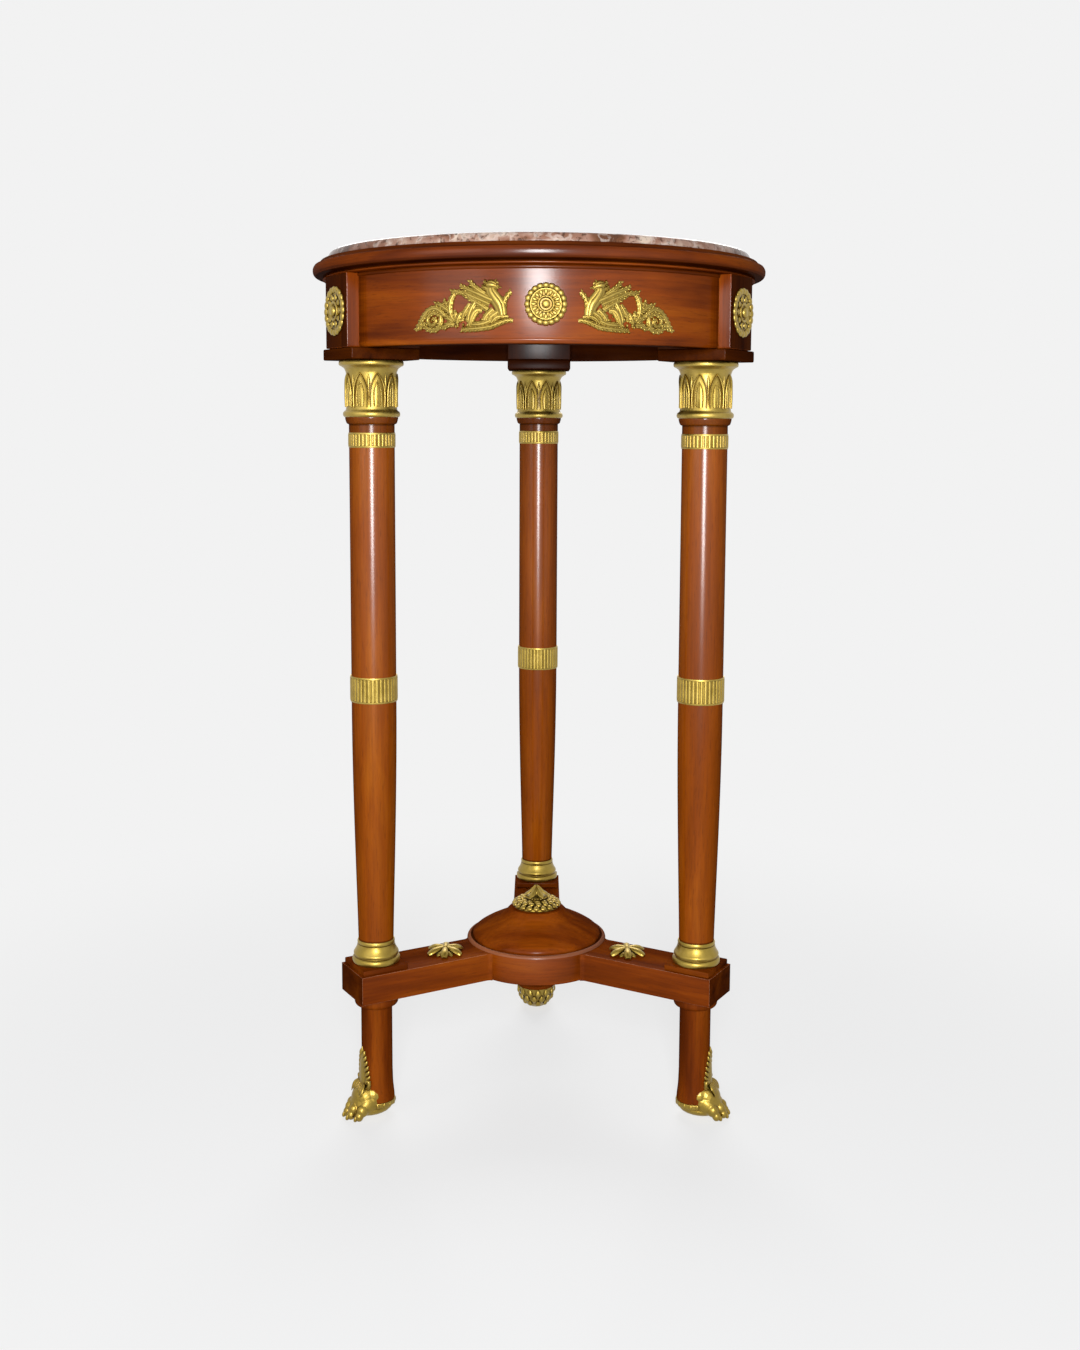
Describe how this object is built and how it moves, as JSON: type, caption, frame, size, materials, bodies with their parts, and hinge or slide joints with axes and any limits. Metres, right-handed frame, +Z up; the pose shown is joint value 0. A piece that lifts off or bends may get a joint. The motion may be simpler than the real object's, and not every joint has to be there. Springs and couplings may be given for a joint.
{
  "type": "gueridon",
  "caption": "Round Empire style side table: loose marble top on a drum apron, turned columns with gilt bronze mounts, and an armed base on lion-paw feet.",
  "frame": {"origin": "centre of the table's plan, on the floor under the three feet", "axes": "+Z up the table's axis, -Y towards the front apron panel, +X to the right seen from the front"},
  "size_m": [0.42, 0.42, 0.7977],
  "materials": {
    "mahogany": "French-polished red-brown mahogany, high gloss",
    "gilt_bronze": "gilt cast bronze, satin with burnished highlights",
    "marble": "opaque polished brown-pink marble with pale veins and dark specks",
    "carcase_wood": "plain unpolished carcase wood"
  },
  "bodies": {
    "root": {"paw_foot_left": "gilt_bronze", "leg_left": "mahogany", "arm_left": "mahogany", "arm_star_left": "gilt_bronze", "paw_foot_right": "gilt_bronze", "leg_right": "mahogany", "arm_right": "mahogany", "arm_star_right": "gilt_bronze", "paw_foot_rear": "gilt_bronze", "leg_rear": "mahogany", "arm_rear": "mahogany", "arm_star_rear": "gilt_bronze", "hub": "mahogany", "hub_dome": "mahogany", "dome_finial": "gilt_bronze", "hub_drop": "mahogany", "drop_boss": "gilt_bronze", "plinth_left": "mahogany", "column_base_left": "gilt_bronze", "column_shaft_left": "mahogany", "lower_collar_left": "gilt_bronze", "upper_collar_left": "gilt_bronze", "capital_left": "gilt_bronze", "abacus_left": "mahogany", "plinth_right": "mahogany", "column_base_right": "gilt_bronze", "column_shaft_right": "mahogany", "lower_collar_right": "gilt_bronze", "upper_collar_right": "gilt_bronze", "capital_right": "gilt_bronze", "abacus_right": "mahogany", "plinth_rear": "mahogany", "column_base_rear": "gilt_bronze", "column_shaft_rear": "mahogany", "lower_collar_rear": "gilt_bronze", "upper_collar_rear": "gilt_bronze", "capital_rear": "gilt_bronze", "abacus_rear": "mahogany", "apron_block_left": "mahogany", "block_rosette_left": "gilt_bronze", "apron_block_right": "mahogany", "block_rosette_right": "gilt_bronze", "apron_block_rear": "mahogany", "block_rosette_rear": "gilt_bronze", "apron_panel_front": "mahogany", "panel_rosette_front": "gilt_bronze", "griffin_east_front": "gilt_bronze", "griffin_west_front": "gilt_bronze", "apron_panel_right": "mahogany", "panel_rosette_right": "gilt_bronze", "griffin_east_right": "gilt_bronze", "griffin_west_right": "gilt_bronze", "apron_panel_left": "mahogany", "panel_rosette_left": "gilt_bronze", "griffin_east_left": "gilt_bronze", "griffin_west_left": "gilt_bronze", "top_rim": "mahogany", "sub_top": "carcase_wood", "marble_top": "marble"}
  },
  "joints": []
}
